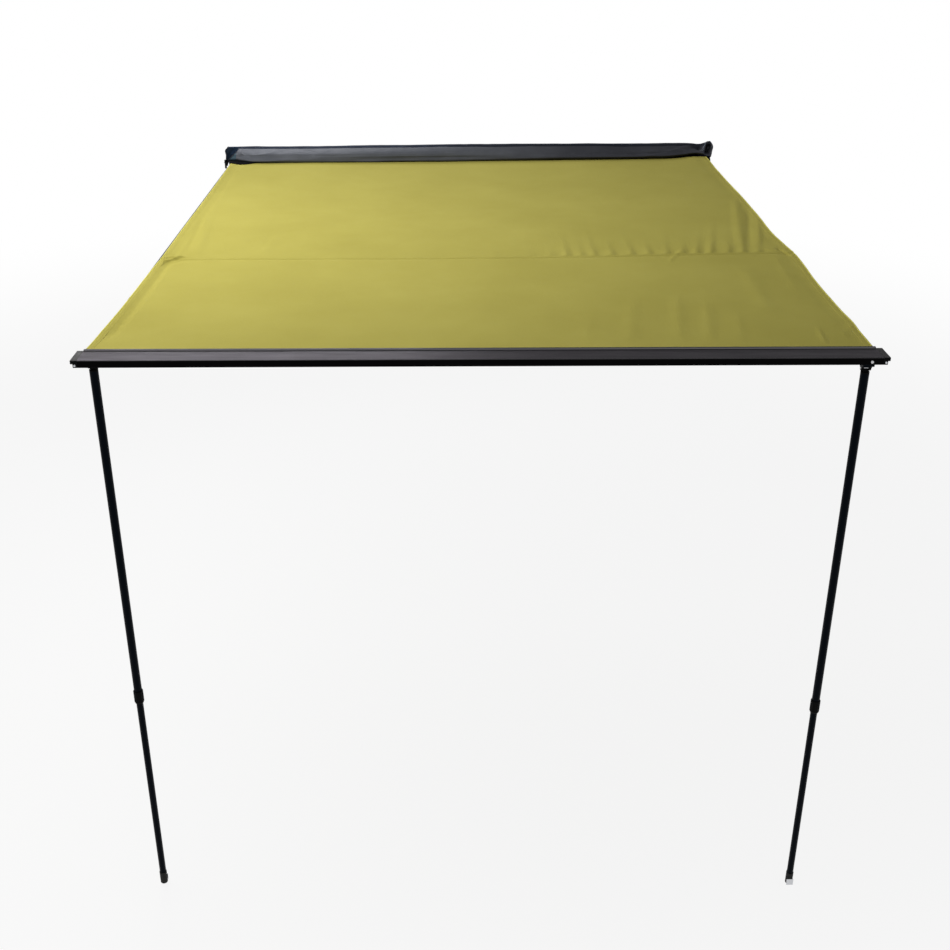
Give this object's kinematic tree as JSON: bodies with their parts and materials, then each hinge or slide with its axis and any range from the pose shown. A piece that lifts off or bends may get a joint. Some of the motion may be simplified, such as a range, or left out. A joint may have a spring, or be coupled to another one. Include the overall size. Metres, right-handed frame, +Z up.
{
  "type": "vehicle side awning",
  "caption": "Pull-out side awning for a roof rack: fabric roof between a back rail with a soft cover and a front rail on folding telescopic legs.",
  "frame": {"origin": "middle of the mounting pad on the back rail's rear face", "axes": "+X along the rails, to the right seen from the front; +Y from the front rail into the vehicle; +Z up"},
  "size_m": [2, 2.4882, 1.7698],
  "materials": {
    "canopy_fabric": "olive yellow ripstop cloth, coated inside",
    "cover_vinyl": "charcoal coated cloth, satin",
    "anodised_rail": "black anodised extrusion",
    "coated_tube": "black powder coat",
    "black_plastic": "moulded, fine grain",
    "black_rubber": "matt",
    "stainless_steel": "plain bright",
    "mill_aluminium": "mill"
  },
  "bodies": {
    "back_assembly": {"back_rail": "anodised_rail", "back_rail_end_cap_left": "black_plastic", "back_rail_end_cap_right": "black_plastic", "mounting_bracket_left": "mill_aluminium", "mounting_bracket_right": "mill_aluminium", "mounting_bolt_left": "stainless_steel", "mounting_bolt_right": "stainless_steel", "cover": "cover_vinyl", "cover_lower_flap": "cover_vinyl", "zip_slider": "stainless_steel", "arm_bracket_left": "coated_tube", "arm_bracket_right": "coated_tube", "arm_pivot_pin_left": "stainless_steel", "arm_pivot_pin_right": "stainless_steel"},
    "zip_pull": {"zip_pull": "cover_vinyl"},
    "left_arm": {"arm_knuckle_left": "black_plastic", "arm_outer_tube_left": "coated_tube"},
    "left_arm_collar": {"arm_lock_collar_left": "black_plastic"},
    "left_arm_slider": {"arm_inner_tube_left": "coated_tube", "arm_expander_left": "black_plastic", "arm_tip_left": "black_plastic"},
    "right_arm": {"arm_knuckle_right": "black_plastic", "arm_outer_tube_right": "coated_tube"},
    "right_arm_collar": {"arm_lock_collar_right": "black_plastic"},
    "right_arm_slider": {"arm_inner_tube_right": "coated_tube", "arm_expander_right": "black_plastic", "arm_tip_right": "black_plastic"},
    "front_rail": {"front_rail": "anodised_rail", "front_rail_end_cap_left": "black_plastic", "front_rail_end_cap_right": "black_plastic", "end_cap_screw_left": "stainless_steel", "end_cap_screw_right": "stainless_steel", "arm_catch_left": "coated_tube", "arm_catch_right": "coated_tube", "leg_bracket_left": "coated_tube", "leg_bracket_right": "coated_tube", "leg_rivet_left": "stainless_steel", "leg_rivet_right": "stainless_steel", "leg_fold_pin_left": "stainless_steel", "leg_fold_pin_right": "stainless_steel", "canopy": "canopy_fabric"},
    "left_leg_knuckle": {"leg_knuckle_left": "black_plastic", "leg_tilt_pin_left": "stainless_steel"},
    "left_leg": {"leg_top_plug_left": "black_plastic", "leg_upper_tube_left": "coated_tube"},
    "left_leg_collar": {"leg_lock_collar_left": "black_plastic"},
    "left_leg_slider": {"leg_lower_tube_left": "coated_tube", "leg_expander_left": "black_plastic", "leg_foot_left": "black_rubber", "leg_foot_plate_left": "stainless_steel"},
    "right_leg_knuckle": {"leg_knuckle_right": "black_plastic", "leg_tilt_pin_right": "stainless_steel"},
    "right_leg": {"leg_top_plug_right": "black_plastic", "leg_upper_tube_right": "coated_tube"},
    "right_leg_collar": {"leg_lock_collar_right": "black_plastic"},
    "right_leg_slider": {"leg_lower_tube_right": "coated_tube", "leg_expander_right": "black_plastic", "leg_foot_right": "black_rubber", "leg_foot_plate_right": "stainless_steel"}
  },
  "joints": [
    {"name": "rail_pull", "type": "slide", "parent": "back_assembly", "child": "front_rail", "axis": [0, 1, 0], "range_m": [0, 0.34], "deforming": ["canopy"]},
    {"name": "zip_pull_swing", "type": "hinge", "parent": "back_assembly", "child": "zip_pull", "pos_m": [-0.9945, -0.095, 0.0109], "axis": [1, 0, 0], "range_deg": [-60, 60]},
    {"name": "left_arm_fold", "type": "hinge", "parent": "back_assembly", "child": "left_arm", "pos_m": [-0.967, -0.04, 0.001], "axis": [0, 0, 1], "range_deg": [0, 90]},
    {"name": "left_arm_collar_twist", "type": "hinge", "parent": "left_arm", "child": "left_arm_collar", "pos_m": [-0.967, -1.901, 0.001], "axis": [0, -1, 0], "range_deg": [0, 90]},
    {"name": "left_arm_slide", "type": "slide", "parent": "left_arm", "child": "left_arm_slider", "axis": [0, 1, 0], "range_m": [0, 0.34]},
    {"name": "right_arm_fold", "type": "hinge", "parent": "back_assembly", "child": "right_arm", "pos_m": [0.962, -0.04, -0.0245], "axis": [0, 0, -1], "range_deg": [0, 90]},
    {"name": "right_arm_collar_twist", "type": "hinge", "parent": "right_arm", "child": "right_arm_collar", "pos_m": [0.962, -1.901, -0.0245], "axis": [0, -1, 0], "range_deg": [0, 90]},
    {"name": "right_arm_slide", "type": "slide", "parent": "right_arm", "child": "right_arm_slider", "axis": [0, 1, 0], "range_m": [0, 0.34]},
    {"name": "left_leg_fold", "type": "hinge", "parent": "front_rail", "child": "left_leg_knuckle", "pos_m": [-0.961, -2.3671, 0.001], "axis": [0, -1, 0], "range_deg": [0, 90]},
    {"name": "left_leg_tilt", "type": "hinge", "parent": "left_leg_knuckle", "child": "left_leg", "pos_m": [-0.961, -2.3671, -0.015], "axis": [1, 0, 0], "range_deg": [-20, 0]},
    {"name": "left_leg_collar_twist", "type": "hinge", "parent": "left_leg", "child": "left_leg_collar", "pos_m": [-0.961, -2.3671, -1.0055], "axis": [0, 0, -1], "range_deg": [0, 90]},
    {"name": "left_leg_slide", "type": "slide", "parent": "left_leg", "child": "left_leg_slider", "axis": [0, 0, 1], "range_m": [-0.12, 0.59]},
    {"name": "right_leg_fold", "type": "hinge", "parent": "front_rail", "child": "right_leg_knuckle", "pos_m": [0.947, -2.4028, 0.001], "axis": [0, 1, 0], "range_deg": [0, 90]},
    {"name": "right_leg_tilt", "type": "hinge", "parent": "right_leg_knuckle", "child": "right_leg", "pos_m": [0.947, -2.4028, -0.015], "axis": [1, 0, 0], "range_deg": [-20, 0]},
    {"name": "right_leg_collar_twist", "type": "hinge", "parent": "right_leg", "child": "right_leg_collar", "pos_m": [0.947, -2.4028, -1.0345], "axis": [0, 0, -1], "range_deg": [0, 90]},
    {"name": "right_leg_slide", "type": "slide", "parent": "right_leg", "child": "right_leg_slider", "axis": [0, 0, 1], "range_m": [-0.12, 0.59]}
  ],
  "couplings": [
    {"joint": "left_arm_slide", "follows": "rail_pull", "ratio": 1},
    {"joint": "right_arm_slide", "follows": "rail_pull", "ratio": 1}
  ]
}
